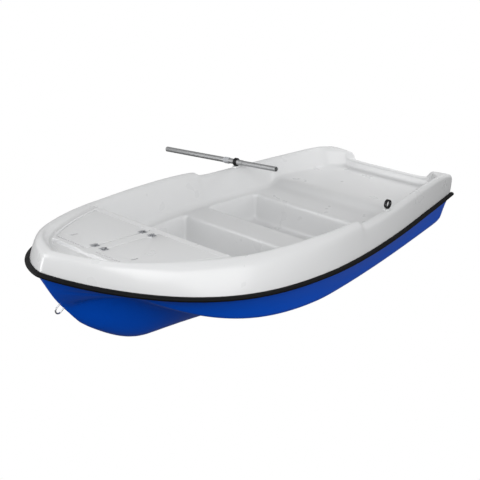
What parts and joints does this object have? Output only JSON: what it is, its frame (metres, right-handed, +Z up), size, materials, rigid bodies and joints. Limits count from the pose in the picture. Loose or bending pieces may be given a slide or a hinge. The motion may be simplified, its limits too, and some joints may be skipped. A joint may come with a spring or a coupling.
{
  "type": "rowing dinghy",
  "caption": "Small glass-fibre rowing dinghy with a blue multi-keel hull, white moulded deck with seats and hatch lids, black rubber rail, oarlocks and a bare tube oar.",
  "frame": {"origin": "on the underside of the middle keel, amidships", "axes": "+X to the bow, +Y to port, +Z up"},
  "size_m": [3.0522, 2.0615, 0.6391],
  "materials": {
    "hull_blue": "glossy blue gelcoat",
    "deck_white": "glossy white gelcoat",
    "rail_black": "matt black rubber",
    "plywood": "marine plywood",
    "steel": "stainless steel",
    "socket_white": "moulded nylon",
    "black_plastic": "moulded plastic",
    "alloy": "drawn aluminium tube",
    "ferrule_grey": "moulded plastic",
    "foam": "closed-cell foam"
  },
  "bodies": {
    "hull": {"hull_shell": "hull_blue", "transom_panel": "hull_blue", "deck_stern": "deck_white", "deck_aft_well": "deck_white", "deck_front_well": "deck_white", "deck_bow_port": "deck_white", "deck_bow_starboard": "deck_white", "rub_rail": "rail_black", "rub_rail_end_caps": "rail_black", "drain_seal": "rail_black", "transom_core": "plywood", "hinge_leaves_fixed": "steel", "hinge_pins": "steel", "hinge_screws_fixed": "steel", "bow_eye": "steel", "bow_eye_backing_plate": "steel", "bow_eye_nuts": "steel", "socket_screws": "steel", "transom_pad_bolts": "steel", "oarlock_socket_port": "socket_white", "oarlock_socket_starboard": "socket_white", "transom_pad": "black_plastic", "drain_flange": "black_plastic", "foam_mid_seat": "foam", "foam_aft_seat": "foam"},
    "lid_port": {"lid_port": "deck_white", "hinge_leaves_port": "steel", "hinge_screws_port": "steel"},
    "lid_starboard": {"lid_starboard": "deck_white", "hinge_leaves_starboard": "steel", "hinge_screws_starboard": "steel"},
    "oarlock_port": {"oarlock_port": "black_plastic"},
    "oarlock_starboard": {"oarlock_starboard": "black_plastic"},
    "oar_collar": {"oar_ball_collar": "black_plastic"},
    "oar": {"oar_outer_tube": "alloy", "oar_inner_tube": "alloy", "oar_ferrule": "ferrule_grey"},
    "drain_plug": {"drain_plug": "black_plastic"}
  },
  "joints": [
    {"name": "lid_port_hinge", "type": "hinge", "parent": "hull", "child": "lid_port", "pos_m": [0.72974, 0.036, 0.53799], "axis": [0.9978, 0, 0.0659], "range_deg": [0, 90]},
    {"name": "lid_starboard_hinge", "type": "hinge", "parent": "hull", "child": "lid_starboard", "pos_m": [0.72974, -0.036, 0.53799], "axis": [-0.9978, 0, -0.0659], "range_deg": [0, 90]},
    {"name": "oarlock_port_swivel", "type": "hinge", "parent": "hull", "child": "oarlock_port", "pos_m": [-0.543, 0.616, 0.49668], "axis": [0, 0, 1], "continuous": true},
    {"name": "oarlock_starboard_swivel", "type": "hinge", "parent": "hull", "child": "oarlock_starboard", "pos_m": [-0.543, -0.616, 0.49668], "axis": [0, 0, 1], "range_deg": [-50, 50]},
    {"name": "oar_tilt", "type": "hinge", "parent": "oarlock_starboard", "child": "oar_collar", "pos_m": [-0.543, -0.616, 0.49668], "axis": [1, 0, 0], "range_deg": [-12, 12]},
    {"name": "oar_feather", "type": "hinge", "parent": "oar_collar", "child": "oar", "pos_m": [-0.543, -0.616, 0.49668], "axis": [0, -0.9976, -0.0698], "range_deg": [-90, 90]},
    {"name": "drain_plug_pull", "type": "slide", "parent": "hull", "child": "drain_plug", "axis": [-0.9739, 0, -0.2269], "range_m": [0, 0.03]}
  ]
}
